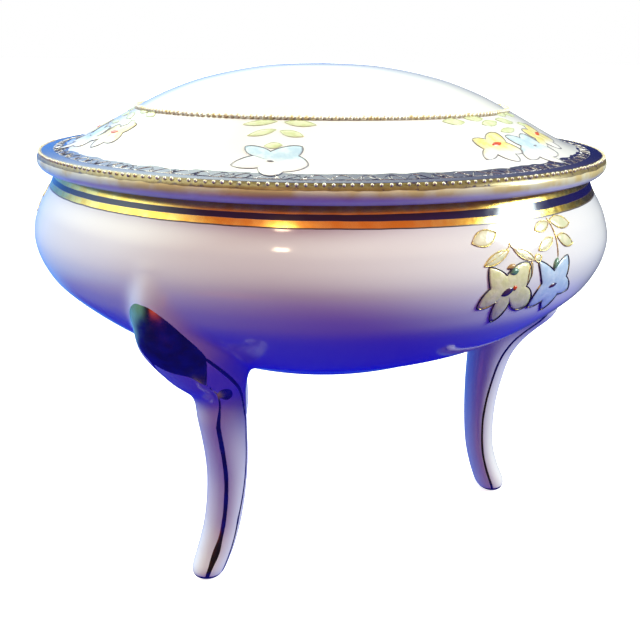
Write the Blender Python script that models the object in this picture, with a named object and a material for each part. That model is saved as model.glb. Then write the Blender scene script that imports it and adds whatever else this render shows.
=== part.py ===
"""Porcelain trinket box: a round bowl on three cabriole legs, with a lift-off domed lid.

The origin is on the floor under the bowl's centre, +Z is up, and one leg points along -Y.
The bowl, the three legs, the lid and the lid's locating flange are porcelain. The two rings of
beading and the flowers are raised enamel, laid on the glaze as separate deposits.
Lengths below are in millimetres, and MM turns them into Blender's metres.
"""

import math

import bmesh
import bpy
from mathutils import Vector

MM = 0.001
FULL_TURN = 2 * math.pi

# Driving dimensions
RIM_RADIUS = 62.0  # outside of the lid's rolled edge
BELLY_RADIUS = 64.0  # widest part of the bowl
BELLY_HEIGHT = 71.7
LIP_HEIGHT = 84.8  # top of the bowl's lip, where the lid rests
BASE_HEIGHT = 41.0  # underside of the bowl, between the legs
APEX_HEIGHT = 106.1  # top of the lid
WALL = 3.0  # thickness of the bowl's wall and of the lid
GAP = 0.3  # left between a piece and the one that it rests on

# Lid
ROLL_RADIUS = 1.9  # of the rolled edge's round section
SEAT_HEIGHT = LIP_HEIGHT + GAP  # the lid's flat underside
ROLL_CENTRE = (RIM_RADIUS - ROLL_RADIUS, SEAT_HEIGHT + ROLL_RADIUS)
SHOULDER = (40.9, 96.9)  # foot of the dome, where the upper beading runs
MOUTH_RADIUS = 55.4  # inside of the bowl's lip
FLANGE_CLEARANCE = 0.9  # between the flange and the bowl's mouth
FLANGE_THICKNESS = 2.2
FLANGE_DEPTH = 5.2  # how far the flange reaches below the lid's seat

# Legs, stuck on by hand, so that they aren't quite alike. Each leg has an azimuth in degrees,
# anticlockwise from -Y, and how much further out its clay is smeared where it meets the bowl.
LEGS = {"leg_front": (0, 0.0), "leg_right": (120, 5.4), "leg_left": (247, 0.0)}
FLARE_HEIGHT = 45.5  # height of the smeared clay's middle
FLARE_SPREAD = 5.5
FOOT_LEAN = -4.0  # how far each foot leans sideways, towards growing azimuth
LEAN_HEIGHT = 31.0  # below this height a leg leans
# Each station is a height, the outer and inner distances from the box's centre line, and half the
# width across.
LEG_STATIONS = (
    (0.0, 47.4, 43.4, 2.2),
    (0.7, 48.5, 42.3, 3.2),
    (2.4, 48.7, 41.2, 3.7),
    (6.6, 47.0, 39.8, 4.0),
    (11.5, 45.7, 38.7, 4.1),
    (17.3, 45.4, 38.1, 4.2),
    (24.2, 45.9, 37.8, 4.3),
    (31.2, 47.3, 37.7, 4.4),
    (38.0, 48.9, 37.8, 4.6),
    (43.8, 50.2, 38.2, 5.1),
    (49.4, 56.2, 38.8, 7.3),
    (56.5, 62.0, 42.0, 9.3),
    (62.8, 63.5, 46.0, 8.0),
    (67.6, 62.4, 50.0, 4.4),
)
LEG_RIDGE = 0.08  # how far the middle of the leg's outer face stands out, as a share of its depth

# Raised enamel
BEADING_RADIUS = 0.45  # of the beads' round section
BEADING_CLEARANCE = 0.1  # between the beading or a flower and the glaze under it
RIM_BEADING_ANGLE = 50  # round the rolled edge's section, up from its widest point
ENAMEL_THICKNESS = 0.45
PETALS = 5
# Facets
TURN_STEPS = 48
CURVE_STEPS = 2  # facets between two points of an outline
LEG_SIDES = 12
FLOWER_POINTS = PETALS * 4
FLOWER_RINGS = 2

PORCELAIN = ("porcelain", (0.86, 0.86, 0.87), 0.08, 0.0)
GOLD = ("gold", (0.83, 0.60, 0.24), 0.22, 1.0)
BLUE_ENAMEL = ("blue_enamel", (0.62, 0.77, 0.92), 0.25, 0.0)
YELLOW_ENAMEL = ("yellow_enamel", (0.90, 0.85, 0.50), 0.25, 0.0)

# Sprays of flowers: the azimuth of each spray in degrees, and for each flower of a spray its name,
# its azimuth from the spray's, the lid's radius or the bowl's height there, its size and its look
LID_SPRAY_AZIMUTHS = (17, 78, 137, 198, 257, 318)
LID_SPRAYS = (
    (
        ("left_flower", -11.5, 49.6, 4.4, YELLOW_ENAMEL),
        ("blue_flower", 1.2, 52.0, 4.8, BLUE_ENAMEL),
        ("right_flower", 12.0, 48.8, 4.4, YELLOW_ENAMEL),
    ),
    (("blue_flower", 0.0, 52.2, 6.2, BLUE_ENAMEL),),
)
BOWL_SPRAY_AZIMUTHS = (61.5, 181.5, 301.5)
BOWL_SPRAY = (
    ("yellow_flower", -5.1, 69.0, 6.1, YELLOW_ENAMEL),
    ("blue_flower", 5.4, 69.4, 5.4, BLUE_ENAMEL),
)


def clear_scene():
    for item in list(bpy.data.objects):
        bpy.data.objects.remove(item)


def material(name, colour, roughness, metallic):
    """The named material, made on its first use."""
    made = bpy.data.materials.get(name)
    if made is None:
        made = bpy.data.materials.new(name)
        made.use_nodes = True
        shader = made.node_tree.nodes["Principled BSDF"]
        shader.inputs["Base Color"].default_value = (*colour, 1.0)
        shader.inputs["Roughness"].default_value = roughness
        shader.inputs["Metallic"].default_value = metallic
    return made


def finish_object(name, mesh_data, look, parent=None):
    """Turns a bmesh, in millimetres, into a smooth-shaded object of the scene."""
    bmesh.ops.recalc_face_normals(mesh_data, faces=mesh_data.faces)
    bmesh.ops.scale(mesh_data, vec=(MM, MM, MM), verts=mesh_data.verts)
    mesh = bpy.data.meshes.new(name)
    mesh_data.to_mesh(mesh)
    mesh_data.free()
    mesh.shade_smooth()
    mesh.set_sharp_from_angle(angle=math.radians(40))
    mesh.materials.append(material(*look))
    made = bpy.data.objects.new(name, mesh)
    bpy.context.scene.collection.objects.link(made)
    made.parent = parent
    return made


# --- Curves -------------------------------------------------------------------------------------


def smooth_through(points, steps):
    """A smooth curve through the points, with steps facets between two of them."""
    first, last = Vector(points[0]), Vector(points[-1])
    knots = [first, *map(Vector, points), last]
    curve = []
    for before, start, end, after in zip(knots, knots[1:], knots[2:], knots[3:]):
        leaving, arriving = (end - before) / 2, (after - start) / 2
        for step in range(steps):
            t = step / steps
            curve.append(
                start * (2 * t**3 - 3 * t**2 + 1)
                + leaving * (t**3 - 2 * t**2 + t)
                + end * (3 * t**2 - 2 * t**3)
                + arriving * (t**3 - t**2)
            )
    return [*curve, last]


def arc(centre, radius, start, end, steps):
    """Points on a circle from one angle to another, in degrees."""
    angles = [math.radians(start + (end - start) * step / steps) for step in range(steps + 1)]
    return [Vector((centre[0] + radius * math.cos(a), centre[1] + radius * math.sin(a))) for a in angles]


def shifted(outline, distance):
    """The outline moved sideways by the distance, to the left of the way that it runs."""
    moved = []
    for index, point in enumerate(outline):
        before = outline[max(index - 1, 0)]
        after = outline[min(index + 1, len(outline) - 1)]
        along = (after - before).normalized()
        moved.append(point + distance * Vector((-along.y, along.x)))
    return moved


# --- Outlines, each running away from the axis ---------------------------------------------------


def bowl_outside(steps):
    """From the middle of the bowl's underside, out over the belly and in to the lip."""
    points = (
        (0.0, BASE_HEIGHT),
        (14.0, BASE_HEIGHT),
        (27.0, BASE_HEIGHT + 1.6),
        (38.5, BASE_HEIGHT + 6.6),
        (50.0, BASE_HEIGHT + 12.5),
        (59.4, BASE_HEIGHT + 20.3),
        (BELLY_RADIUS - 1.1, BELLY_HEIGHT - 5.3),
        (BELLY_RADIUS, BELLY_HEIGHT),
        (BELLY_RADIUS - 1.4, BELLY_HEIGHT + 5.2),
        (BELLY_RADIUS - 4.0, LIP_HEIGHT - 3.4),
        (MOUTH_RADIUS + WALL, LIP_HEIGHT),
    )
    return smooth_through(points, steps)


def lid_outside(steps):
    """From the lid's apex, down the dome and the sloping shoulder to the rolled edge."""
    points = (
        (0.0, APEX_HEIGHT),
        (12.5, APEX_HEIGHT - 0.6),
        (25.0, APEX_HEIGHT - 2.9),
        (34.0, APEX_HEIGHT - 5.9),
        SHOULDER,
        (46.0, 94.2),
        (51.0, 91.5),
        (55.0, 89.7),
        (ROLL_CENTRE[0] - 1.6, ROLL_CENTRE[1] + ROLL_RADIUS),
    )
    return smooth_through(points, steps)


def height_on(outline, radius):
    """Height of the outline where it first reaches the radius."""
    for near, far in zip(outline, outline[1:]):
        if near.x <= radius <= far.x:
            return near.y + (far.y - near.y) * (radius - near.x) / (far.x - near.x)
    raise ValueError(f"the outline never reaches {radius}")


# --- Solids --------------------------------------------------------------------------------------


def ring_of(solid, point):
    """The point carried round the axis. A point on the axis stays one corner."""
    if point[0] < 1e-6:
        return [solid.verts.new((0.0, 0.0, point[1]))]
    turns = [step / TURN_STEPS * FULL_TURN for step in range(TURN_STEPS)]
    return [solid.verts.new((point[0] * math.sin(t), -point[0] * math.cos(t), point[1])) for t in turns]


def join_rings(solid, first, second):
    """Faces between two rings, either of which can be a single corner."""
    for step in range(TURN_STEPS):
        after = (step + 1) % TURN_STEPS
        if len(first) == 1:
            solid.faces.new((first[0], second[after], second[step]))
        elif len(second) == 1:
            solid.faces.new((first[step], first[after], second[0]))
        else:
            solid.faces.new((first[step], first[after], second[after], second[step]))


def turned(name, outline, look, closed=False, parent=None):
    """Spins an outline about the axis. A closed outline gives a ring, an open one meets the axis."""
    solid = bmesh.new()
    rings = [ring_of(solid, point) for point in outline]
    pairs = list(zip(rings, rings[1:]))
    if closed:
        pairs.append((rings[-1], rings[0]))
    for first, second in pairs:
        join_rings(solid, first, second)
    return finish_object(name, solid, look, parent)


def make_bowl(parent):
    outside = bowl_outside(CURVE_STEPS)
    inside = [point for point in shifted(outside[:-2], WALL) if point.x > 0.5 * WALL]
    floor = Vector((0.0, inside[0].y))
    lip_inner = Vector((MOUTH_RADIUS, LIP_HEIGHT))
    throat = Vector((MOUTH_RADIUS + 0.4, LIP_HEIGHT - 2.2))
    outline = [*outside, lip_inner, throat, *reversed(inside), floor]
    return turned("bowl", outline, PORCELAIN, parent=parent)


def lid_roll():
    """The rolled edge, from the top of the lid's slope round to its flat seat."""
    return arc(ROLL_CENTRE, ROLL_RADIUS, 75, -90, 8)


def lid_inside(steps):
    """The lid's hollow, from its middle out to the flat seat."""
    outside = lid_outside(steps)
    kept = [p for p in shifted(outside, -WALL) if 0.5 * WALL < p.x < MOUTH_RADIUS - 2.5]
    return [Vector((0.0, kept[0].y)), *kept, Vector((MOUTH_RADIUS, SEAT_HEIGHT))]


def make_lid(parent):
    outside = lid_outside(CURVE_STEPS)
    outline = [*outside, *lid_roll(), *reversed(lid_inside(CURVE_STEPS))]
    return turned("lid", outline, PORCELAIN, parent=parent)


def make_lid_flange(parent):
    """The ring under the lid that drops into the bowl's mouth and keeps the lid centred."""
    outer = MOUTH_RADIUS - FLANGE_CLEARANCE
    inner = outer - FLANGE_THICKNESS
    hollow = lid_inside(CURVE_STEPS)
    foot = SEAT_HEIGHT - FLANGE_DEPTH
    outline = (
        (outer, height_on(hollow, outer) - GAP),
        (inner, height_on(hollow, inner) - GAP),
        (inner, foot + 0.5),
        (inner + 0.5, foot),
        (outer - 0.6, foot),
        (outer, foot + 0.6),
    )
    return turned("lid_flange", outline, PORCELAIN, closed=True, parent=parent)


def leg_section(outer, inner, half_width):
    """A rounded section across the leg: a slight ridge down its outer face and a flatter back."""
    depth = (outer - inner) / 2
    middle = (outer + inner) / 2
    section = []
    for side in range(LEG_SIDES):
        turn = side / LEG_SIDES * FULL_TURN
        ridge = LEG_RIDGE * depth * max(math.cos(turn), 0) ** 8
        out = middle + (depth * (1 - LEG_RIDGE)) * math.cos(turn) + ridge
        section.append((half_width * math.sin(turn), -out))
    return section


def lean_at(height):
    """Sideways lean at a height: none above LEAN_HEIGHT, and all of it at the floor."""
    return FOOT_LEAN * max(1 - height / LEAN_HEIGHT, 0) ** 1.6


def flare_at(height, flare):
    """How much further out the leg's outer face stands at a height."""
    return flare * math.exp(-(((height - FLARE_HEIGHT) / FLARE_SPREAD) ** 2))


def make_leg(name, azimuth, flare, clearance, parent):
    """Lofts the leg through its stations, then cuts it back to clear the bowl's outside."""
    solid = bmesh.new()
    rings = []
    for height, outer, inner, half_width in smooth_through(LEG_STATIONS, 2):
        section = leg_section(outer + flare_at(height, flare), inner, half_width)
        lean = lean_at(height)
        rings.append([solid.verts.new((x + lean, y, height)) for x, y in section])
    for lower, upper in zip(rings, rings[1:]):
        for side in range(LEG_SIDES):
            after = (side + 1) % LEG_SIDES
            solid.faces.new((lower[side], lower[after], upper[after], upper[side]))
    solid.faces.new(reversed(rings[0]))
    solid.faces.new(rings[-1])
    leg = finish_object(name, solid, PORCELAIN, parent)
    leg.rotation_euler.z = math.radians(azimuth)
    cut = leg.modifiers.new("clear_of_bowl", "BOOLEAN")
    cut.operation = "DIFFERENCE"
    cut.solver = "EXACT"
    cut.object = clearance
    return leg


def make_bowl_clearance():
    """The bowl's outside grown by the gap, as one filled solid that cuts the legs back."""
    grown = [point for point in shifted(bowl_outside(CURVE_STEPS), -GAP) if point.x > 0.5 * WALL]
    floor = Vector((0.0, grown[0].y))
    top = Vector((0.0, grown[-1].y))
    cutter = turned("bowl_clearance", [floor, *grown, top], PORCELAIN)
    cutter.hide_render = True
    cutter.display_type = "WIRE"
    return cutter


def make_beading(name, centre, parent):
    """A ring of raised enamel whose round section has its centre there."""
    section = arc(centre, BEADING_RADIUS, 0, 300, 5)
    return turned(name, section, GOLD, closed=True, parent=parent)


# --- Enamel flowers ------------------------------------------------------------------------------


class Surface:
    """A turned surface that enamel is laid on, met by azimuth and distance along its outline."""

    def __init__(self, outline):
        self.outline = outline
        self.lengths = [0.0]
        for near, far in zip(outline, outline[1:]):
            self.lengths.append(self.lengths[-1] + (far - near).length)

    def distance_to(self, value, axis):
        """Distance along the outline to where its radius (axis 0) or height (axis 1) has the value."""
        for near, far, start in zip(self.outline, self.outline[1:], self.lengths):
            if near[axis] <= value < far[axis]:
                share = (value - near[axis]) / (far[axis] - near[axis])
                return start + share * (far - near).length
        raise ValueError(f"the outline never reaches {value}")

    def point(self, azimuth, distance, lift):
        """The point at an azimuth in radians and a distance along, lifted off the surface."""
        index = max(i for i, length in enumerate(self.lengths[:-1]) if length <= distance)
        near, far = self.outline[index], self.outline[index + 1]
        along = (far - near).normalized()
        on = near + along * (distance - self.lengths[index])
        outward = Vector((along.y, -along.x))
        if outward.dot(on - Vector((0, BELLY_HEIGHT))) < 0:
            outward = -outward
        on = on + outward * lift
        return Vector((on.x * math.sin(azimuth), -on.x * math.cos(azimuth), on.y))


def petal_reach(turn):
    """How far the flower reaches in a direction, as a share of its size: broad, pointed petals."""
    return 1 - 0.42 * abs(math.sin(PETALS * turn / 2)) ** 1.5


def make_flower(name, surface, middle, azimuth, size, look, parent):
    """A thin five-petalled pad of enamel that follows the surface under it."""
    solid = bmesh.new()
    reach_out = -surface.point(0.0, middle, 0.0).y
    layers = []
    for lift in (BEADING_CLEARANCE, BEADING_CLEARANCE + ENAMEL_THICKNESS):

        def place(across, along):
            turn = math.radians(azimuth) + across / reach_out
            return solid.verts.new(surface.point(turn, middle + along, lift))

        rings = []
        for ring in range(1, FLOWER_RINGS + 1):
            corners = []
            for corner in range(FLOWER_POINTS):
                turn = corner / FLOWER_POINTS * FULL_TURN
                reach = size * petal_reach(turn) * ring / FLOWER_RINGS
                corners.append(place(reach * math.sin(turn), reach * math.cos(turn)))
            rings.append(corners)
        layers.append((place(0.0, 0.0), rings))
    for centre, rings in layers:
        for corner in range(FLOWER_POINTS):
            after = (corner + 1) % FLOWER_POINTS
            solid.faces.new((centre, rings[0][corner], rings[0][after]))
            for near, far in zip(rings, rings[1:]):
                solid.faces.new((near[corner], far[corner], far[after], near[after]))
    lower_edge, upper_edge = layers[0][1][-1], layers[1][1][-1]
    for corner in range(FLOWER_POINTS):
        after = (corner + 1) % FLOWER_POINTS
        solid.faces.new((lower_edge[corner], lower_edge[after], upper_edge[after], upper_edge[corner]))
    return finish_object(name, solid, look, parent)


def make_lid_flowers(surface, parent):
    """Six sprays: one blue flower and a group of three take turns round the lid."""
    for number, azimuth in enumerate(LID_SPRAY_AZIMUTHS, start=1):
        for petals, turn, radius, size, look in LID_SPRAYS[number % 2]:
            name = f"lid_spray_{number}_{petals}"
            middle = surface.distance_to(radius, axis=0)
            make_flower(name, surface, middle, azimuth + turn, size, look, parent)


def make_bowl_flowers(surface, parent):
    """Three sprays, each a yellow and a blue flower side by side on the belly."""
    for number, azimuth in enumerate(BOWL_SPRAY_AZIMUTHS, start=1):
        for petals, turn, height, size, look in BOWL_SPRAY:
            name = f"bowl_spray_{number}_{petals}"
            middle = surface.distance_to(height, axis=1)
            make_flower(name, surface, middle, azimuth + turn, size, look, parent)


# --- Assembly ------------------------------------------------------------------------------------


def make_empty(name):
    made = bpy.data.objects.new(name, None)
    bpy.context.scene.collection.objects.link(made)
    return made


def make_base():
    """What stays on the table: the bowl with its legs and its flowers."""
    base = make_empty("base_group")
    make_bowl(base)
    clearance = make_bowl_clearance()
    for name, (azimuth, flare) in LEGS.items():
        make_leg(name, azimuth, flare, clearance, base)
    make_bowl_flowers(Surface(bowl_outside(CURVE_STEPS)), base)


def make_lid_group():
    """What lifts off along the axis: the lid, its flange, its beading and its flowers."""
    group = make_empty("lid_group")
    make_lid(group)
    make_lid_flange(group)
    outside = lid_outside(CURVE_STEPS)
    stand_off = BEADING_CLEARANCE + BEADING_RADIUS
    shoulder = (SHOULDER[0], height_on(outside, SHOULDER[0]) + stand_off)
    rim = arc(ROLL_CENTRE, ROLL_RADIUS + stand_off, RIM_BEADING_ANGLE, RIM_BEADING_ANGLE, 1)[0]
    make_beading("shoulder_beading", shoulder, group)
    make_beading("rim_beading", rim, group)
    make_lid_flowers(Surface(outside), group)


clear_scene()
make_base()
make_lid_group()
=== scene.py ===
"""Looks for the porcelain trinket box: glaze, gilding, cobalt band, beading and enamel flowers.

Lengths are in millimetres until a mesh is made, and azimuths are in degrees, anticlockwise from -Y.
"""

import math

import bmesh
import bpy
import numpy as np
from mathutils import Matrix, Vector


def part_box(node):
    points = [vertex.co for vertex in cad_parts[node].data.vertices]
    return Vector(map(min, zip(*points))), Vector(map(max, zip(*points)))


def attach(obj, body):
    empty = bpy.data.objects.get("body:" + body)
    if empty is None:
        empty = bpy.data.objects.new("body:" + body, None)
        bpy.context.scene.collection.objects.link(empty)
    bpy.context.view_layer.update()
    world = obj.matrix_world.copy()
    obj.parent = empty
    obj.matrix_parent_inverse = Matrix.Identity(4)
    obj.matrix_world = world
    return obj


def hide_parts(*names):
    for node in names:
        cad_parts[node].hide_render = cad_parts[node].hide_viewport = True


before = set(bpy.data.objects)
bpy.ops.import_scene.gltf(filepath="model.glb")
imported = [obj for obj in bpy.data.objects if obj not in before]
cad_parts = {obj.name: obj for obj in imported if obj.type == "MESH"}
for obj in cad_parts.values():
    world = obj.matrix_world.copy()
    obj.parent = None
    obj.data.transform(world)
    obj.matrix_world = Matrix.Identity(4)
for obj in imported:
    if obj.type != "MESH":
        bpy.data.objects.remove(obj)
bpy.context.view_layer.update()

MM = 0.001
FULL_TURN = 2 * math.pi

# --- Driving sizes ---


def packed(node, end, axis):
    """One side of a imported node's box: end 0 is the low side and 1 the high side."""
    return round(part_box(node)[end][axis] / MM, 1)


BELLY_RADIUS = packed("bowl", 1, 0)
LIP_HEIGHT = packed("bowl", 1, 2)
RIM_RADIUS = packed("lid", 1, 0)
APEX_HEIGHT = packed("lid", 1, 2)
SEAT_HEIGHT = packed("lid", 0, 2)
FLANGE_OUTER = packed("lid_flange", 1, 0)
FLANGE_FOOT = packed("lid_flange", 0, 2)

BASE_HEIGHT = 41.0  # the curve through it dips a little lower
BELLY_HEIGHT = 71.7
WALL = 3.0
MOUTH_RADIUS = 55.4
LIP_ROUND = 1.5
ROLL_RADIUS = 1.9
ROLL_CENTRE = (RIM_RADIUS - ROLL_RADIUS, SEAT_HEIGHT + ROLL_RADIUS)
SHOULDER = (40.9, 96.9)  # foot of the lid's dome
FLANGE_INNER = 52.3
FLANGE_ROUND = 0.7

# Each leg's azimuth, how far its clay flares out at the bowl, and the turn of its gold ridge line
LEGS = {"leg_front": (0, 0.0, 28), "leg_right": (120, 5.4, 0), "leg_left": (247, 0.0, 0)}
FLARE_HEIGHT = 45.5
FLARE_SPREAD = 5.5
FOOT_LEAN = -4.0
LEAN_HEIGHT = 31.0  # below this height the legs lean
LEAN_POWER = 1.6
BLEND = 3.2  # how widely a leg's skin flows into the bowl's
# Each station of a leg: height, outer and inner distance from the axis, half the width across
LEG_STATIONS = (
    (0.0, 47.4, 43.4, 2.2),
    (0.7, 48.5, 42.3, 3.2),
    (2.4, 48.7, 41.2, 3.7),
    (6.6, 47.0, 39.8, 4.0),
    (11.5, 45.7, 38.7, 4.1),
    (17.3, 45.4, 38.1, 4.2),
    (24.2, 45.9, 37.8, 4.3),
    (31.2, 47.3, 37.7, 4.4),
    (38.0, 48.9, 37.8, 4.6),
    (43.8, 50.2, 38.2, 5.1),
    (49.4, 56.2, 38.8, 7.3),
    (56.5, 62.0, 42.0, 9.3),
    (62.8, 64.2, 46.0, 7.8),
    (67.4, 64.7, 50.0, 5.7),
    (70.6, 64.0, 53.0, 3.6),
    (73.0, 62.4, 56.0, 1.4),
)

# --- Fineness ---

TURN_STEPS = 360
LEG_SIDES = 144
LEG_STEPS = 18  # rows between two stations
OUTLINE_STEPS = 14

# --- Painted and raised decoration ---

# The gilded cap over each knee: the turn round the leg and the height of its lower and upper edges
CAP_LOWER = ((-50, 62.0), (-26, 57.6), (-10, 55.2), (6, 54.0), (26, 53.0), (40, 50.6), (54, 57.5))
CAP_UPPER = ((-50, 62.0), (-44, 65.6), (-26, 67.4), (-6, 67.6))
CAP_UPPER += ((14, 67.0), (34, 64.6), (50, 60.0), (54, 57.5))
# Gold lines down each leg. The tables give degrees from the ridge line, or millimetres, by height.
RIDGE_BEND = ((38, 2), (47, 18), (53, 8))
RIDGE_HALF_WIDTH = ((0, 0.50), (38, 0.50), (42, 0.22), (50, 0.10))
RIDGE_END = 52  # height where the ridge line runs out
RIGHT_LINE = ((0, 62), (14, 52), (24, 67), (37, 84), (44, 66), (57, 26))
LEFT_LINE = ((0, 94), (20, 90), (41, 66), (57, 40))
SIDE_HALF_WIDTH = 0.34
SIDE_END = 57
LEG_ARM = ((0, 4.0), (45, 5.5), (60, 9.0))  # from a leg's middle to its skin
TOE_GOLD = 1.1  # height of the gilded toe
GOLD_LEAF = (30, 46.3, 1.25, 1.9)  # turn from the ridge line, height, and half sizes of a small leaf
# Painted bands under the lip, each a top and a bottom height
NECK_BANDS = {"upper gold": (85.1, 83.5), "lower gold": (82.55, 81.5), "cobalt": (83.5, 82.55)}
NECK_LINE = (81.42, 0.10)  # height and half width of the dark line under the bands
BAND_SWELL = 0.5  # how much lower the bands' feet reach on the side at WIDE_AZIMUTH
WIDE_AZIMUTH = 110
COBALT_EDGE = 55.9  # mean radius of the dark blue border's inner edge
COBALT_FOOT = 87.7  # height on the rolled edge where the border ends
ROLL_GOLD_FOOT = 86.4  # height where the gilding of the rolled edge fades out
LINE_RADIUS = 0.05
RIM_BEADS = (61.3, 262, 0.31)  # ring radius, number of beads, bead radius
SHOULDER_BEADS = (SHOULDER[0], 202, 0.48)
BEAD_SEED = 7
PETAL_THICKNESS = 0.16
CENTRE_THICKNESS = 0.34
LEAF_THICKNESS = 0.10
PAD_EDGE = 0.03  # how high a pad of enamel stands at its edge
PAD_SKIRT = -0.12  # how far its skirt reaches under the glaze

CAMERA_AZIMUTH = 27.0
CAMERA_DISTANCE = 177.94
CAMERA_HEIGHT = 106.7
CAMERA_PITCH = 18.96
CAMERA_ROLL = 0.57
CAMERA_LENS = 42.58

# The surroundings: light from level and above, and light from below, by side of the object
LEVEL_LEFT, LEVEL_RIGHT, LEVEL_FRONT = (5.1, 5.7, 4.7), (0.58, 0.66, 0.54), (0.78, 0.26, 0.17)
LOW_LEFT, LOW_RIGHT, LOW_FRONT = (0.14, 0.47, 1.27), (0.01, 0.02, 0.10), (0.01, 0.01, 0.06)
BLUE_CLOTH = (0.005, 0.006, 0.63)
DIM_OVERHEAD = (0.12, 0.12, 0.18)
RED_GLOW = (0.85, 0.14, 0.03)
GLOW_AZIMUTH = CAMERA_AZIMUTH - 34.0
WINDOW_COLOUR = (0.88, 1.0, 0.99)
LAMP_COLOUR = (1.0, 0.74, 0.48)
FLOOR_HALF = 30.0  # metres
FLOOR_GLOW = 0.72

LID_SPRAY_AZIMUTHS = (17, 78, 137, 198, 257, 318)
BOWL_SPRAY_AZIMUTHS = (61.5, 181.5, 301.5)


# --- Curves ---


def smooth_through(points, steps):
    """A smooth curve through the points, with steps facets between two of them."""
    points = np.array(points, float)
    knots = np.vstack([points[:1], points, points[-1:]])
    t = (np.arange(steps) / steps)[:, None]
    pieces = []
    for before, start, end, after in zip(knots, knots[1:], knots[2:], knots[3:]):
        leaving, arriving = (end - before) / 2, (after - start) / 2
        pieces.append(
            start * (2 * t**3 - 3 * t**2 + 1)
            + leaving * (t**3 - 2 * t**2 + t)
            + end * (3 * t**2 - 2 * t**3)
            + arriving * (t**3 - t**2)
        )
    return np.vstack([*pieces, points[-1:]])


def arc(centre, radius, start, end, steps):
    """Points on a circle from one angle to another, in degrees."""
    angles = np.radians(np.linspace(start, end, steps + 1))
    return np.column_stack([centre[0] + radius * np.cos(angles), centre[1] + radius * np.sin(angles)])


def unit(vectors):
    return vectors / np.linalg.norm(vectors, axis=-1, keepdims=True)


def left_of(outline):
    """Unit vectors to the left of the way that the outline runs."""
    along = unit(np.gradient(outline, axis=0))
    return np.column_stack([-along[:, 1], along[:, 0]])


def bowl_outside():
    points = (
        (0.0, BASE_HEIGHT),
        (14.0, BASE_HEIGHT),
        (27.0, BASE_HEIGHT + 1.6),
        (38.5, BASE_HEIGHT + 6.6),
        (50.0, BASE_HEIGHT + 12.5),
        (59.4, BASE_HEIGHT + 20.3),
        (BELLY_RADIUS - 1.1, BELLY_HEIGHT - 5.3),
        (BELLY_RADIUS, BELLY_HEIGHT),
        (BELLY_RADIUS - 1.4, BELLY_HEIGHT + 5.2),
        (BELLY_RADIUS - 4.0, LIP_HEIGHT - 3.4),
        (MOUTH_RADIUS + WALL, LIP_HEIGHT),
    )
    return smooth_through(points, OUTLINE_STEPS)


def bowl_outline():
    """The bowl's whole section, from the middle of its underside to the middle of its floor."""
    outside = bowl_outside()
    inside = outside + WALL * left_of(outside)
    inside = inside[(inside[:, 0] > 0.5 * WALL) & (inside[:, 1] < LIP_HEIGHT - 4.0)]
    lip = arc((MOUTH_RADIUS + LIP_ROUND, LIP_HEIGHT - LIP_ROUND), LIP_ROUND, 70, 180, 10)
    return np.vstack([outside, lip, inside[::-1], [[0.0, inside[0, 1]]]])


def lid_outside():
    points = (
        (0.0, APEX_HEIGHT),
        (12.5, APEX_HEIGHT - 0.6),
        (25.0, APEX_HEIGHT - 2.9),
        (34.0, APEX_HEIGHT - 5.9),
        SHOULDER,
        (46.0, 94.2),
        (51.0, 91.5),
        (55.0, 89.7),
        (ROLL_CENTRE[0] - 1.6, ROLL_CENTRE[1] + ROLL_RADIUS),
    )
    return smooth_through(points, OUTLINE_STEPS)


def lid_roll():
    return arc(ROLL_CENTRE, ROLL_RADIUS, 75, -90, 36)


def lid_inside():
    outside = lid_outside()
    inside = outside - WALL * left_of(outside)
    inside = inside[(inside[:, 0] > 0.5 * WALL) & (inside[:, 0] < MOUTH_RADIUS - 2.5)]
    return np.vstack([[[0.0, inside[0, 1]]], inside, [[MOUTH_RADIUS, SEAT_HEIGHT]]])


def lid_outline():
    return np.vstack([lid_outside(), lid_roll(), lid_inside()[::-1]])


class Surface:
    """A turned surface, met by azimuth and by distance along its outline."""

    def __init__(self, outline):
        self.outline = outline
        self.lengths = np.r_[0.0, np.cumsum(np.linalg.norm(np.diff(outline, axis=0), axis=1))]
        normals = left_of(outline)
        middle = np.array([0.0, BELLY_HEIGHT])
        inward = np.sum(normals * (outline - middle), axis=1) < 0
        self.normals = np.where(inward[:, None], -normals, normals)

    def distance_to(self, value, axis):
        return np.interp(value, self.outline[:, axis], self.lengths)

    def radius_at(self, distance):
        return np.interp(distance, self.lengths, self.outline[:, 0])

    def place(self, azimuth, distance, lift=0.0):
        """Points and outward normals at azimuths in radians and distances along, lifted off."""
        section = [np.interp(distance, self.lengths, column) for column in self.outline.T]
        normal = unit(np.column_stack([np.interp(distance, self.lengths, c) for c in self.normals.T]))
        radius = section[0] + normal[:, 0] * lift
        height = section[1] + normal[:, 1] * lift
        around = np.column_stack([np.sin(azimuth), -np.cos(azimuth)])
        points = np.column_stack([around * radius[:, None], height])
        return points, np.column_stack([around * normal[:, :1], normal[:, 1]])


# --- Meshes ---


def add_piece(name, points, faces, look, body, replaced=(), normals=None, fields=None):
    """Makes a smooth-shaded piece from points in millimetres, and rides it on its body."""
    mesh = bpy.data.meshes.new(name)
    mesh.from_pydata((np.asarray(points) * MM).tolist(), [], faces)
    mesh.shade_smooth()
    mesh.materials.append(look)
    for field, values in (fields or {}).items():
        layer = mesh.attributes.new(field, "FLOAT", "POINT")
        layer.data.foreach_set("value", np.asarray(values, np.float32))
    if normals is not None:
        given = np.array([vertex.normal for vertex in mesh.vertices])
        chosen = ~np.isnan(normals[:, 0])
        given[chosen] = normals[chosen]
        mesh.normals_split_custom_set_from_vertices(given.tolist())
    piece = bpy.data.objects.new(name, mesh)
    bpy.context.scene.collection.objects.link(piece)
    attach(piece, body)
    if replaced:
        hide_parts(*replaced)
    return piece


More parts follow.
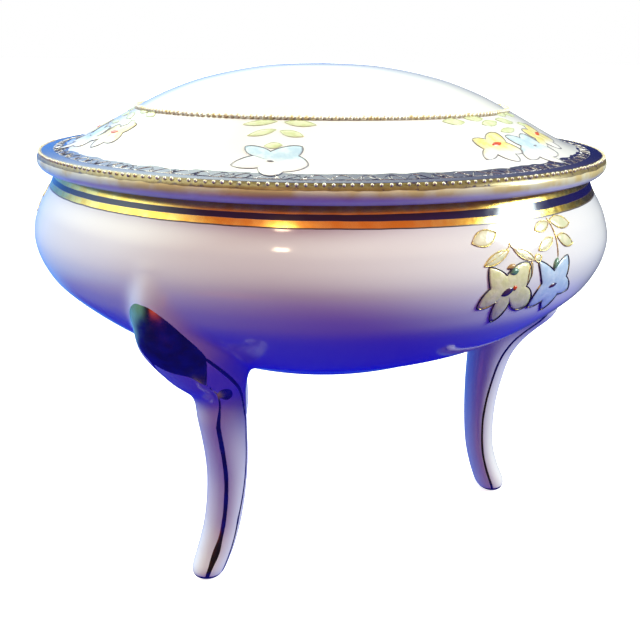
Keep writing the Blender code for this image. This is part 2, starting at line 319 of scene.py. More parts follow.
def grid_faces(rows, steps, closed_rows=False):
    """Quads between rows of points, each row closed on itself."""
    faces = []
    for row in range(rows if closed_rows else rows - 1):
        low, high = row * steps, (row + 1) % rows * steps
        for step in range(steps):
            after = (step + 1) % steps
            faces.append((low + step, low + after, high + after, high + step))
    return faces


def turned(outline, steps=TURN_STEPS):
    """Points and faces of an outline that starts and ends on the axis, spun about it."""
    turns = np.arange(steps) / steps * FULL_TURN
    around = np.column_stack([np.sin(turns), -np.cos(turns)])
    rings = outline[1:-1]
    points = np.concatenate(
        [np.column_stack([around * r, np.full(steps, z)]) for r, z in rings]
        + [[(0.0, 0.0, outline[0, 1]), (0.0, 0.0, outline[-1, 1])]]
    )
    faces = grid_faces(len(rings), steps)
    first, last = len(rings) * steps, len(rings) * steps + 1
    edge = (len(rings) - 1) * steps
    for step in range(steps):
        after = (step + 1) % steps
        faces.append((first, after, step))
        faces.append((last, edge + step, edge + after))
    return points, faces


def facing_out(points, faces):
    """The faces turned over if the solid that they close is inside out."""
    first = np.array([face[0] for face in faces])
    volume = 0.0
    for second, third in ((1, 2), (-2, -1)):
        corners = [points[first], *(points[[face[i] for face in faces]] for i in (second, third))]
        volume += np.sum(np.linalg.det(np.stack(corners, axis=1)))
    return faces if volume > 0 else [face[::-1] for face in faces]


# --- Materials ---


class Graph:
    """The node tree of a material or a world, with short calls for the nodes used here."""

    def __init__(self, owner):
        owner.use_nodes = True
        self.owner = owner
        self.tree = owner.node_tree
        self.shader = self.tree.nodes.get("Principled BSDF")

    def put(self, socket, value):
        if isinstance(value, bpy.types.NodeSocket):
            self.tree.links.new(value, socket)
        elif isinstance(value, tuple) and len(value) == 3 and socket.type == "RGBA":
            socket.default_value = (*value, 1.0)
        else:
            socket.default_value = value

    def node(self, kind, **settings):
        made = self.tree.nodes.new(kind)
        for name, value in settings.items():
            setattr(made, name, value)
        return made

    def calc(self, operation, first, second=0.0):
        made = self.node("ShaderNodeMath", operation=operation)
        self.put(made.inputs[0], first)
        self.put(made.inputs[1], second)
        return made.outputs[0]

    def times(self, first, second):
        return self.calc("MULTIPLY", first, second)

    def rise(self, value, start, end):
        """0 below start, 1 above end, smooth between."""
        made = self.node("ShaderNodeMapRange", interpolation_type="SMOOTHSTEP")
        self.put(made.inputs["Value"], value)
        made.inputs["From Min"].default_value = start
        made.inputs["From Max"].default_value = end
        return made.outputs["Result"]

    def mix(self, share, first, second):
        made = self.node("ShaderNodeMix", data_type="RGBA")
        self.put(made.inputs[0], share)
        self.put(made.inputs[6], first)
        self.put(made.inputs[7], second)
        return made.outputs[2]

    def blend(self, share, first, second):
        made = self.node("ShaderNodeMix", data_type="FLOAT")
        self.put(made.inputs[0], share)
        self.put(made.inputs[2], first)
        self.put(made.inputs[3], second)
        return made.outputs[0]

    def position(self):
        """The object's own coordinates, in millimetres."""
        made = self.node("ShaderNodeVectorMath", operation="SCALE")
        self.put(made.inputs[0], self.node("ShaderNodeTexCoord").outputs["Object"])
        made.inputs["Scale"].default_value = 1 / MM
        return made.outputs[0]

    def noise(self, size, detail=2.0):
        """Noise from 0 to 1, whose blotches are about size millimetres across."""
        made = self.node("ShaderNodeTexNoise")
        self.put(made.inputs["Vector"], self.position())
        made.inputs["Scale"].default_value = 1 / size
        made.inputs["Detail"].default_value = detail
        return made.outputs["Fac"]

    def mottle(self, size, detail, low, high, first, second):
        """Two colours in blotches. Noise below low is the first and above high the second."""
        return self.mix(self.rise(self.noise(size, detail), low, high), first, second)

    def towards(self, vector, azimuth, flat=1.0, up=0.0):
        """How far the vector points along a direction: flat towards the azimuth, and up."""
        a = math.radians(azimuth)
        made = self.node("ShaderNodeVectorMath", operation="DOT_PRODUCT")
        self.put(made.inputs[0], vector)
        made.inputs[1].default_value = (flat * math.sin(a), -flat * math.cos(a), up)
        return made.outputs["Value"]

    def field(self, name):
        return self.node("ShaderNodeAttribute", attribute_name=name).outputs["Fac"]

    def radius_and_height(self):
        parts = self.node("ShaderNodeSeparateXYZ")
        self.put(parts.inputs[0], self.position())
        x, y, z = parts.outputs
        squares = self.calc("ADD", self.times(x, x), self.times(y, y))
        return self.calc("SQRT", squares), z

    def bump(self, height, distance):
        made = self.node("ShaderNodeBump")
        made.inputs["Distance"].default_value = distance * MM
        made.inputs["Strength"].default_value = 1.0
        self.put(made.inputs["Height"], height)
        self.put(self.shader.inputs["Normal"], made.outputs["Normal"])

    def finish(self, colour, roughness, metallic=0.0):
        self.put(self.shader.inputs["Base Color"], colour)
        self.put(self.shader.inputs["Roughness"], roughness)
        self.put(self.shader.inputs["Metallic"], metallic)
        return self.owner


def material_graph(name):
    return Graph(bpy.data.materials.new(name))


WHITE = (0.87, 0.865, 0.86)
CREAM = (0.83, 0.82, 0.80)
GOLD = (0.82, 0.50, 0.09)
PALE_GOLD = (0.84, 0.62, 0.18)
COBALT, BRIGHT_COBALT = (0.010, 0.006, 0.050), (0.016, 0.010, 0.100)
ROLL_GOLD, PALE_ROLL_GOLD = (0.78, 0.62, 0.26), (0.88, 0.84, 0.58)
DARK_STRIP, BRIGHT_STRIP = (0.10, 0.06, 0.02), (0.36, 0.28, 0.09)
BEAD_SHADOW = (0.20, 0.13, 0.08)
BAND_LINE = (0.05, 0.03, 0.03)
BEAD_CREAM, BEAD_GOLD = (0.86, 0.82, 0.66), (0.78, 0.64, 0.34)


def layer(graph, below, share, above):
    """One finish (colour, roughness, metallic) laid over another where share is 1."""
    return (
        graph.mix(share, below[0], above[0]),
        graph.blend(share, below[1], above[1]),
        graph.blend(share, below[2], above[2]),
    )


def glaze_finish(graph):
    return (graph.mix(graph.noise(30.0), WHITE, CREAM), graph.blend(graph.noise(9.0), 0.05, 0.12), 0.0)


def gold_finish(graph):
    colour = graph.mottle(3.0, 4.0, 0.35, 0.65, GOLD, PALE_GOLD)
    return (colour, graph.blend(graph.noise(1.2, 4.0), 0.10, 0.30), 1.0)


def cobalt_finish(graph):
    colour = graph.mix(graph.noise(4.0, 3.0), COBALT, BRIGHT_COBALT)
    return (colour, graph.blend(graph.noise(2.0), 0.08, 0.2), 0.0)


def within(graph, value, low, high, soft=0.04):
    """1 where the value lies between low and high."""
    above = graph.rise(value, low - soft, low + soft)
    below = graph.calc("SUBTRACT", 1.0, graph.rise(value, high - soft, high + soft))
    return graph.times(above, below)


def wobbled(graph, value, size, amount):
    """The value pushed to and fro a little, as a hand-painted edge is."""
    swing = graph.times(graph.calc("SUBTRACT", graph.noise(size), 0.5), 2 * amount)
    return graph.calc("ADD", value, swing)


def soft_bump(graph, size=14.0):
    """The slight unevenness of fired glaze."""
    graph.bump(graph.noise(size, 1.0), 0.05)


def bowl_material():
    graph = material_graph("bowl_glaze")
    radius, height = graph.radius_and_height()
    outer = graph.rise(radius, MOUTH_RADIUS + 0.4, MOUTH_RADIUS + 0.9)
    edge = wobbled(graph, height, 6.0, 0.10)
    wide = graph.rise(graph.towards(graph.position(), WIDE_AZIMUTH), 5.0, 55.0)
    low_edge = graph.calc("ADD", edge, graph.times(wide, BAND_SWELL))
    finish = glaze_finish(graph)
    for name, (top, bottom) in NECK_BANDS.items():
        share = graph.times(graph.rise(low_edge, bottom - 0.04, bottom + 0.04), outer)
        share = graph.times(share, within(graph, edge, bottom - 1.0, top))
        paint = cobalt_finish(graph) if name == "cobalt" else gold_finish(graph)
        finish = layer(graph, finish, share, paint)
    line, half_width = NECK_LINE
    share = graph.times(within(graph, low_edge, line - half_width, line + half_width), outer)
    finish = layer(graph, finish, share, (BAND_LINE, 0.3, 0.0))
    soft_bump(graph)
    return graph.finish(*finish)


def lid_material():
    graph = material_graph("lid_glaze")
    radius, height = graph.radius_and_height()
    wavy_height = wobbled(graph, height, 4.0, 0.30)
    above_foot = graph.rise(wavy_height, COBALT_FOOT - 0.1, COBALT_FOOT + 0.1)
    finish = glaze_finish(graph)

    on_roll = graph.rise(radius, ROLL_CENTRE[0], ROLL_CENTRE[0] + 0.1)
    faded = graph.rise(wavy_height, ROLL_GOLD_FOOT - 0.5, ROLL_GOLD_FOOT + 0.4)
    roll_gold = graph.mottle(7.0, 5.0, 0.40, 0.62, ROLL_GOLD, PALE_ROLL_GOLD)
    finish = layer(graph, finish, graph.times(on_roll, faded), (roll_gold, 0.25, 0.15))

    border = graph.rise(wobbled(graph, radius, 5.0, 1.1), COBALT_EDGE - 0.05, COBALT_EDGE + 0.05)
    finish = layer(graph, finish, graph.times(border, above_foot), cobalt_finish(graph))

    ring, _, bead = RIM_BEADS
    strip = graph.rise(radius, ring - 1.6 * bead, ring - 1.2 * bead)
    gold_share = graph.rise(graph.noise(1.8, 5.0), 0.30, 0.46)
    share = graph.times(graph.times(strip, gold_share), above_foot)
    strip_gold = graph.mix(graph.noise(1.5, 4.0), DARK_STRIP, BRIGHT_STRIP)
    finish = layer(graph, finish, share, (strip_gold, 0.3, 0.3))

    ring, _, bead = SHOULDER_BEADS
    under_beads = within(graph, radius, ring - 1.1 * bead, ring + 1.1 * bead, 0.08)
    outside = graph.rise(height, SHOULDER[1] - 1.5, SHOULDER[1] - 1.2)
    share = graph.times(graph.times(under_beads, outside), 0.8)
    finish = layer(graph, finish, share, (BEAD_SHADOW, 0.3, 0.3))
    soft_bump(graph)
    return graph.finish(*finish)


def leg_material():
    graph = material_graph("leg_glaze")
    edge = wobbled(graph, graph.field("gilding"), 3.0, 0.08)
    finish = layer(graph, glaze_finish(graph), graph.rise(edge, -0.04, 0.04), gold_finish(graph))
    soft_bump(graph, 9.0)
    return graph.finish(*finish)


def plain_glaze():
    graph = material_graph("plain_glaze")
    soft_bump(graph)
    return graph.finish(*glaze_finish(graph))


def enamel(name, first, second, highlight_radii=None):
    """Brushed enamel. Between two given radii its colour pales to cream, a painted highlight towards the
    lid's rim.
    """
    graph = material_graph(name)
    colour = graph.mottle(1.6, 3.0, 0.35, 0.65, first, second)
    if highlight_radii:
        radius, _ = graph.radius_and_height()
        # painted highlight: the enamel pales to cream between the two radii
        colour = graph.mix(graph.rise(wobbled(graph, radius, 4.0, 1.5), *highlight_radii), colour, CREAM)
    graph.bump(graph.noise(0.8, 3.0), 0.06)
    return graph.finish(colour, graph.blend(graph.noise(1.0), 0.154, 0.286))


def gilt_line(name, dark, share_low, share_high, gold=PALE_GOLD):
    """A hand-drawn line of old gold, dark where the gold has worn off. On the bowl's flower outlines the
    navy-dark is also a painted dark reflection of the gold.
    """
    graph = material_graph(name)
    gold_share = graph.rise(graph.noise(1.4, 4.0), share_low, share_high)
    colour = graph.mix(gold_share, dark, gold)
    return graph.finish(colour, graph.blend(graph.noise(0.7), 0.15, 0.4), graph.blend(gold_share, 0.1, 0.95))


def bead_material():
    graph = material_graph("beading_enamel")
    colour = graph.mottle(2.0, 3.0, 0.45, 0.65, BEAD_CREAM, BEAD_GOLD)
    roughness = graph.blend(graph.noise(1.0), 0.15, 0.35)
    return graph.finish(colour, roughness, graph.blend(graph.noise(2.5), 0.0, 0.5))


# --- Legs that flow into the bowl ---


def lean_at(height):
    return FOOT_LEAN * np.maximum(1 - height / LEAN_HEIGHT, 0) ** LEAN_POWER


def flare_at(height, flare):
    return flare * np.exp(-(((height - FLARE_HEIGHT) / FLARE_SPREAD) ** 2))


LEG_ROWS = smooth_through(LEG_STATIONS, LEG_STEPS)
BOWL_OUTSIDE = bowl_outside()


def leg_distance(points, azimuth, flare):
    """About how far the points are outside a leg's skin, and below zero inside it."""
    turn = math.radians(azimuth)
    out = points[:, 0] * math.sin(turn) - points[:, 1] * math.cos(turn)
    across = points[:, 0] * math.cos(turn) + points[:, 1] * math.sin(turn)
    height = np.clip(points[:, 2], LEG_ROWS[0, 0], LEG_ROWS[-1, 0])
    outer, inner, half_width = [np.interp(height, LEG_ROWS[:, 0], column) for column in LEG_ROWS.T[1:]]
    outer = outer + flare_at(height, flare)
    depth = (outer - inner) / 2
    a = (across - lean_at(height)) / half_width
    b = (out - (outer + inner) / 2) / depth
    share = np.hypot(a, b) + 1e-9
    slope = np.hypot(a / half_width, b / depth) / share
    beyond = np.abs(points[:, 2] - height)
    return np.hypot(np.maximum((share - 1) / slope, 0), beyond) + np.minimum((share - 1) / slope, 0)


def bowl_distance(points):
    """How far the points are outside the bowl's outer skin, and below zero inside it."""
    section = np.column_stack([np.hypot(points[:, 0], points[:, 1]), points[:, 2]])
    start, end = BOWL_OUTSIDE[:-1], BOWL_OUTSIDE[1:]
    run = end - start
    squared = np.full(len(points), np.inf)
    signed = np.zeros(len(points))
    for a, along in zip(start, run):
        share = np.clip(((section - a) @ along) / (along @ along), 0, 1)
        gap = section - a - share[:, None] * along
        square = np.sum(gap * gap, axis=1)
        side = gap[:, 0] * along[1] - gap[:, 1] * along[0]
        nearer = square < squared
        squared = np.where(nearer, square, squared)
        signed = np.where(nearer, np.sign(side), signed)
    return np.sqrt(squared) * signed


def joined_distance(points, azimuth, flare):
    """The two distances run together with a soft fillet between the skins."""
    to_bowl = bowl_distance(points)
    to_leg = leg_distance(points, azimuth, flare)
    near = np.maximum(BLEND - np.abs(to_bowl - to_leg), 0) / BLEND
    return np.minimum(to_bowl, to_leg) - near * near * near * BLEND / 6


def slope_of(points, azimuth, flare):
    step = 0.02
    slope = np.empty_like(points)
    for axis in range(3):
        offset = np.zeros(3)
        offset[axis] = step
        ahead = joined_distance(points + offset, azimuth, flare)
        behind = joined_distance(points - offset, azimuth, flare)
        slope[:, axis] = (ahead - behind) / (2 * step)
    return slope


def settled(points, level, azimuth, flare, rounds=5):
    """The points moved onto the level of the joined skins."""
    points = points.copy()
    for _ in range(rounds):
        slope = slope_of(points, azimuth, flare)
        excess = joined_distance(points, azimuth, flare) - level
        points -= slope * (excess / np.maximum(np.sum(slope * slope, axis=1), 0.2))[:, None]
    return points


def off_by(turn, line, arm):
    """How far round the leg the points are from a line on it, in millimetres."""
    return np.radians(np.abs((turn - line + 180) % 360 - 180)) * arm


def by_height(height, table):
    heights, values = zip(*table)
    return np.interp(height, heights, values)


def leg_gilding(turn, height, ridge):
    """How far inside a leg's gilded areas each point is, in millimetres: a knee cap and lines."""
    arm = by_height(height, LEG_ARM)
    line = by_height(height, RIDGE_HALF_WIDTH) - off_by(turn, ridge + by_height(height, RIDGE_BEND), arm)
    swelling = 0.35 * np.exp(-(((height - 6.5) / 2.4) ** 2))
    line += swelling - np.maximum(height - RIDGE_END, 0)
    right = ridge + by_height(height, RIGHT_LINE)
    left = ridge - by_height(height, LEFT_LINE)
    beyond_end = np.maximum(height - SIDE_END, 0)
    sides = [SIDE_HALF_WIDTH - off_by(turn, side, arm) - beyond_end for side in (right, left)]
    toe = TOE_GOLD - height + 0.25 * np.cos(np.radians(turn - ridge))
    leaf_turn, leaf_height, half_across, half_up = GOLD_LEAF
    across = off_by(turn, ridge + leaf_turn, arm) / half_across
    leaf = 1.0 - np.hypot(across, (height - leaf_height) / half_up)
    signed = (turn + 180) % 360 - 180
    lower, upper = (np.interp(signed, *smooth_through(edge, 12).T) for edge in (CAP_LOWER, CAP_UPPER))
    cap = np.minimum(upper - height, height - lower)
    cap = np.where((signed > CAP_LOWER[0][0]) & (signed < CAP_LOWER[-1][0]), cap, -1.0)
    return np.max([line, *sides, toe, leaf, cap], axis=0)


def make_leg(name, azimuth, flare, ridge, look):
    turns = np.arange(LEG_SIDES) / LEG_SIDES * FULL_TURN - math.pi
    rows, turn_of, height_of = [], [], []
    for height, outer, inner, half_width in LEG_ROWS:
        outer += flare_at(height, flare)
        out = (outer + inner) / 2 + (outer - inner) / 2 * np.cos(turns)
        across = lean_at(height) + half_width * np.sin(turns)
        rows.append(np.column_stack([out, across, np.full(LEG_SIDES, height)]))
        turn_of.append(np.degrees(turns))
        height_of.append(np.full(LEG_SIDES, height))
    local = np.vstack([*rows, rows[0].mean(axis=0)[None], rows[-1].mean(axis=0)[None]])
    a = math.radians(azimuth)
    points = np.column_stack(
        [
            local[:, 0] * math.sin(a) + local[:, 1] * math.cos(a),
            -local[:, 0] * math.cos(a) + local[:, 1] * math.sin(a),
            local[:, 2],
        ]
    )
    count = len(rows) * LEG_SIDES
    faces = grid_faces(len(rows), LEG_SIDES)
    for step in range(LEG_SIDES):
        after = (step + 1) % LEG_SIDES
        faces.append((count, after, step))
        faces.append((count + 1, count - LEG_SIDES + step, count - LEG_SIDES + after))
    depth_in = bowl_distance(points)
    upper = depth_in < 2 * BLEND
    level = 0.02 - np.clip((-depth_in[upper] - 0.1) * 0.8, 0, 1.5)
    points[upper] = settled(points[upper], level, azimuth, flare)
    normals = np.full_like(points, np.nan)
    skin = upper & (depth_in > -0.8)
    normals[skin] = unit(slope_of(points[skin], azimuth, flare))
    turn, height = (np.concatenate([*column, [0, 0]]) for column in (turn_of, height_of))
    gilding = leg_gilding(turn, height, ridge)
    gilding[count:] = 0.5
    faces = facing_out(points, faces)
    add_piece(name, points, faces, look, "base", [name], normals, {"gilding": gilding})


def make_bowl(look):
    points, faces = turned(bowl_outline())
    normals = np.full_like(points, np.nan)
    outer = np.abs(bowl_distance(points)) < 0.01
    for azimuth, flare, _ in LEGS.values():
        gap = leg_distance(points, azimuth, flare)
        near = outer & (gap < 1.5 * BLEND) & (gap > -1.5) & (points[:, 2] < 75)
        share = np.clip((gap[near] + 1.5) / 1.2, 0, 1)[:, None]
        moved = settled(points[near], 0.0, azimuth, flare)
        points[near] += share * (moved - points[near])
        normals[near] = unit(slope_of(points[near], azimuth, flare))
    faces = facing_out(points, faces)
    add_piece("bowl_glazed", points, faces, look, "base", ["bowl"], normals)


def make_lid(look):
    points, faces = turned(lid_outline())
    add_piece("lid_glazed", points, facing_out(points, faces), look, "lid", ["lid"])


def make_flange(look):
    ceiling = lid_inside()
    outer, inner = FLANGE_OUTER, FLANGE_INNER
    top = [np.interp(r, ceiling[:, 0], ceiling[:, 1]) - 0.3 for r in (outer, inner)]
    foot = FLANGE_FOOT + FLANGE_ROUND
    section = np.vstack(
        [
            [[outer, top[0]], [inner, top[1]]],
            arc((inner + FLANGE_ROUND, foot), FLANGE_ROUND, 180, 270, 6),
            arc((outer - FLANGE_ROUND, foot), FLANGE_ROUND, 270, 360, 6),
        ]
    )
    turns = np.arange(TURN_STEPS) / TURN_STEPS * FULL_TURN
    around = np.column_stack([np.sin(turns), -np.cos(turns)])
    points = np.concatenate([np.column_stack([around * r, np.full(TURN_STEPS, z)]) for r, z in section])
    faces = facing_out(points, grid_faces(len(section), TURN_STEPS, closed_rows=True))
    add_piece("lid_flange_glazed", points, faces, look, "lid", ["lid_flange"])


# --- Raised decoration ---


def bead_ball(radius):
    ball = bmesh.new()
    bmesh.ops.create_icosphere(ball, subdivisions=2, radius=radius)
    points = np.array([vertex.co for vertex in ball.verts])
    faces = [tuple(vertex.index for vertex in face.verts) for face in ball.faces]
    ball.free()
    return points, faces


def make_beads(name, surface, ring, look):
    """Beads set close together round the lid, each a little different from the next."""
    ring_radius, count, radius = ring
    rng = np.random.default_rng(BEAD_SEED)
    ball, ball_faces = bead_ball(radius)
    azimuths = (np.arange(count) + rng.uniform(-0.09, 0.09, count)) / count * FULL_TURN
    distance = surface.distance_to(ring_radius, axis=0) + rng.uniform(-0.05, 0.05, count)
    centres, _ = surface.place(azimuths, distance, radius * 0.35)
    points, faces = [], []
    for index, centre in enumerate(centres):
        size = rng.uniform(0.85, 1.1)
        points.append(ball * size + centre)
        faces += [tuple(corner + index * len(ball) for corner in face) for face in ball_faces]
    add_piece(f"{name}_beads", np.vstack(points), faces, look, "lid", [name])


def tube(points, normals, radii, closed, sides=6):
    """A thin round line through the points. An open line's ends close to a point."""
    if closed:
        along = unit(np.roll(points, -1, axis=0) - np.roll(points, 1, axis=0))
    else:
        along = unit(np.gradient(points, axis=0))
    side = unit(np.cross(normals, along))
    up = np.cross(along, side)
    angles = np.arange(sides) / sides * FULL_TURN
    ring = np.cos(angles)[None, :, None] * side[:, None] + np.sin(angles)[None, :, None] * up[:, None]
    skin = (points[:, None] + ring * radii[:, None, None]).reshape(-1, 3)
    return skin, grid_faces(len(points), sides, closed_rows=closed)


class Paint:
    """Collects the meshes of one piece."""

    def __init__(self):
        self.points, self.faces, self.count = [], [], 0

    def add(self, points, faces):
        self.points.append(points)
        self.faces += [tuple(corner + self.count for corner in face) for face in faces]
        self.count += len(points)

    def finish(self, name, look, body, slot, replaced=()):
        add_piece(name, np.vstack(self.points), self.faces, look, body, replaced)


class Patch:
    """A place on a surface, with flat coordinates: across, towards growing azimuth, and along."""

    def __init__(self, surface, azimuth, distance):
        self.surface = surface
        self.azimuth = math.radians(azimuth)
        self.distance = distance
        self.radius = surface.radius_at(distance)

    def place(self, flat, lift):
        azimuth = self.azimuth + flat[:, 0] / self.radius
        return self.surface.place(azimuth, self.distance + flat[:, 1], lift)


def line_on(paint, patch, flat, radius, closed=False, lift=0.05):
    """A raised line along the flat path, a little thicker and thinner by turns."""
    points, normals = patch.place(flat, np.full(len(flat), lift))
    share = np.linspace(0, 1, len(flat))
    radii = radius * (1 + 0.18 * np.sin(share * 40) + 0.12 * np.sin(share * 97 + 1))
    if not closed:
        radii = radii * np.clip(np.minimum(share, 1 - share) * 12, 0.25, 1)
    paint.add(*tube(points, normals, radii, closed))


def pad_on(paint, patch, centre, outline, thickness, rings=8):
    """A low cushion of enamel inside the outline, whose skirt goes just under the glaze."""
    corners = len(outline)
    levels = np.r_[np.arange(1, rings + 1) / rings, 1.0]
    flats, lifts = [], []
    for index, share in enumerate(levels):
        flats.append(centre + (outline - centre) * share)
        dome = thickness * (1 - share**4) + PAD_EDGE
        lifts.append(np.full(corners, dome if index < rings else PAD_SKIRT))
    flats.append(np.array([centre, centre]))
    lifts.append(np.array([thickness + PAD_EDGE, PAD_SKIRT]))
    points, _ = patch.place(np.vstack(flats), np.concatenate(lifts))
    faces = grid_faces(len(levels), corners)
    top, bottom = len(levels) * corners, len(levels) * corners + 1
    edge = (len(levels) - 1) * corners
    for step in range(corners):
        after = (step + 1) % corners
        faces.append((top, after, step))
        faces.append((bottom, edge + step, edge + after))
    paint.add(points, facing_out(points - points.mean(axis=0), faces))


def bezier(start, first, second, end, steps):
    t = (np.arange(steps) / steps)[:, None]
    return (
        start * (1 - t) ** 3 + 3 * first * t * (1 - t) ** 2 + 3 * second * t**2 * (1 - t) + end * t**3
    )


def petal_outline(petals, steps=9):
    """A flower's closed edge through (tip, valley after it, fullness of the petal)."""
    edge = []
    for index, (tip, valley, fullness) in enumerate(petals):
        tip, valley = np.array(tip), np.array(valley)
        before = np.array(petals[index - 1][1])
        for start, end in ((before, tip), (tip, valley)):
            run = end - start
            bulge = np.array([-run[1], run[0]]) * fullness
            near_tip = 0.62 if end is tip else 0.38
            first = start + run * (near_tip * 0.5) + bulge * 0.9
            second = start + run * (0.5 + near_tip * 0.5) + bulge * 0.9
            edge.append(bezier(start, first, second, end, steps))
    return np.vstack(edge)


def leaf_outline(middle, angle, length, width, steps=10):
    """A pointed leaf about its middle, at an angle in degrees from across."""
    t = (1 - np.cos(math.pi * np.arange(steps) / steps)) / 2
    spine = (t - 0.5) * length
    swell = (4 * t * (1 - t)) ** 0.9 * width / 2
    upper = np.column_stack([spine, swell])
    lower = np.column_stack([-spine, -swell])
    turn = math.radians(angle)
    rotation = np.array([[math.cos(turn), math.sin(turn)], [-math.sin(turn), math.cos(turn)]])
    return np.vstack([upper, lower]) @ rotation + np.array(middle)


# A flower is its petals in order round it, each a tip, the valley after it and its fullness
BOWL_YELLOW = (
    ((-3.8, 4.3), (-0.2, 2.6), 0.14),
    ((5.2, 4.1), (4.5, 0.1), 0.20),
    ((6.2, -4.2), (1.2, -2.4), 0.34),
    ((-1.1, -6.6), (-2.0, -1.9), 0.22),
    ((-5.7, -2.7), (-3.7, 0.7), 0.22),
)
BOWL_BLUE = (
    ((-4.4, 5.2), (-0.2, 2.8), 0.08),
    ((4.4, 4.9), (4.1, 1.0), 0.12),
    ((6.6, -2.1), (3.1, -2.4), 0.16),
    ((0.5, -5.6), (-1.5, -2.9), 0.16),
    ((-5.2, -3.6), (-3.4, 1.0), 0.16),
)
LID_BLUE = (
    ((-5.7, -4.1), (-0.6, -2.9), -0.20),
    ((4.9, -4.5), (4.5, -1.8), -0.20),
    ((6.3, 0.9), (2.5, 3.3), -0.20),
    ((0.9, 5.1), (-1.7, 2.1), -0.22),
    ((-6.4, 1.5), (-3.4, -1.5), -0.20),
)
LID_SMALL_BLUE = (
    ((-5.3, -4.0), (-0.8, -2.9), -0.20),
    ((2.8, -3.9), (4.2, -0.6), -0.20),
    ((4.8, 3.2), (0.4, 4.2), -0.20),
    ((-1.0, 7.2), (-3.6, 3.4), -0.22),
    ((-7.6, 3.6), (-4.2, -0.6), -0.20),
)
LID_YELLOW = (
    ((-4.4, -2.1), (-1.1, -1.8), -0.22),
    ((4.2, -3.5), (3.6, -0.3), -0.24),
    ((5.0, 2.7), (2.0, 3.3), -0.22),
    ((0.5, 5.7), (-2.4, 2.9), -0.22),
    ((-6.0, 4.1), (-4.0, 1.0), -0.20),
)
# Parts laid on the bowl's petals: name, middle, angle, length, width and look
BOWL_CENTRES = (
    ("yellow", (0.1, -0.3), 19, 3.5, 1.6, "navy"),
    ("yellow_tip", (1.6, 0.2), 19, 1.3, 1.1, "red"),
    ("blue", (-0.1, 0.1), 8, 2.9, 0.95, "navy"),
    ("yellow_bud", (1.5, 3.0), 12, 2.4, 1.3, "bud"),
    ("yellow_bud_top", (0.9, 3.9), 12, 2.2, 0.9, "bronze"),
    ("blue_bud", (0.4, 3.9), 50, 2.6, 1.3, "bud"),
)
# A lid spray's flowers: name, degrees from the spray's azimuth, distance from the axis, and kind
SINGLE_FLOWERS = (("blue_flower", 0.8, 52.4, "blue"),)
TRIPLE_FLOWERS = (
    ("left_flower", -11.2, 49.2, "yellow"),
    ("blue_flower", 1.4, 50.8, "small_blue"),
    ("right_flower", 12.1, 48.3, "yellow"),
)
BLUE_CENTRE = ((0.0, 0.2), 5, 1.6, 0.5, "thin_line")
# A kind's petals, look, slot, and centre as its middle, angle, length, width and look
LID_KINDS = {
    "yellow": (LID_YELLOW, "pale_yellow", "yellow_enamel", ((0.2, 0.0), -8, 3.8, 1.3, "red")),
    "blue": (LID_BLUE, "pale_blue", "blue_enamel", BLUE_CENTRE),
    "small_blue": (LID_SMALL_BLUE, "pale_blue", "blue_enamel", BLUE_CENTRE),
}
# A spray's leaves, each a middle, an angle, a length and a width
BOWL_LEAVES = (
    ((-8.1, 2.9), 15, 5.6, 2.8),
    ((-6.4, -0.7), 21, 5.9, 1.7),
    ((-0.2, -0.8), -27, 5.2, 1.6),
    ((2.9, -1.8), 10, 1.9, 1.4),
    ((0.7, -4.0), 72, 3.8, 0.8),
    ((12.0, 3.6), -12, 6.3, 2.5),
    ((6.1, 3.5), 12, 4.6, 1.8),
    ((11.7, 0.2), -24, 4.9, 2.3),
    ((5.8, 0.3), 20, 4.9, 1.8),
)
BOWL_STEMS = (
    ((8.3, 4.9), (8.9, 3.2), (9.0, 1.0), (8.8, -0.8), (8.4, -2.5)),
    ((-3.2, 1.6), (-3.9, 0.6), (-8.9, -1.6)),
    ((-3.2, 1.6), (-2.4, 0.4), (1.9, -2.2)),
)
SINGLE_LEAVES = (
    ((-4.3, -1.8), -12, 6.3, 1.7),
    ((3.1, -1.9), 8, 6.0, 1.9),
    ((-3.1, 1.2), -25, 5.0, 1.7),
    ((2.0, 1.3), 20, 4.5, 1.8),
    ((-0.4, 4.9), -8, 2.8, 1.7),
)
TRIPLE_LEAVES = (
    ((-13.0, -1.9), 6, 5.4, 2.1),
    ((-6.5, -2.6), 6, 5.6, 1.9),
    ((-3.4, -0.7), -4, 5.8, 2.0),
    ((3.2, -0.8), 17, 6.0, 2.0),
    ((6.6, -3.0), 8, 5.0, 1.7),
    ((11.8, -2.3), 12, 5.0, 1.8),
    ((-0.6, 2.1), -3, 5.8, 1.6),
    ((10.0, 1.4), 24, 4.6, 1.6),
)


def make_flower(name, patch, petals, fill, outline_look, line_radius, body, slot):
    paint = Paint()
    edge = petal_outline(petals)
    pad_on(paint, patch, np.zeros(2), edge, PETAL_THICKNESS)
    paint.finish(f"{name}_petals", fill, body, slot, [name])
    lines = Paint()
    line_on(lines, patch, edge, line_radius, closed=True)
    lines.finish(f"{name}_outline", outline_look, body, "gold")


def make_centre(name, patch, middle, angle, length, width, look, body):
    paint = Paint()
    edge = leaf_outline(middle, angle, length, width)
    pad_on(paint, patch, np.array(middle), edge, CENTRE_THICKNESS, rings=4)
    paint.finish(f"{name}_centre", look, body, "blue_enamel")


def make_leaves(name, patch, leaves, stems, looks, line_radius, body):
    """Leaves as (middle, angle, length, width), and stems as paths, all about one place."""
    fills, lines = Paint(), Paint()
    for middle, angle, length, width in leaves:
        edge = leaf_outline(middle, angle, length, width)
        pad_on(fills, patch, np.array(middle), edge, LEAF_THICKNESS, rings=5)
        line_on(lines, patch, edge, line_radius, closed=True)
    for stem in stems:
        line_on(lines, patch, smooth_through(stem, 8), line_radius)
    fills.finish(f"{name}_leaves", looks["leaf"], body, "yellow_enamel")
    lines.finish(f"{name}_leaf_lines", looks["leaf_line"], body, "gold")


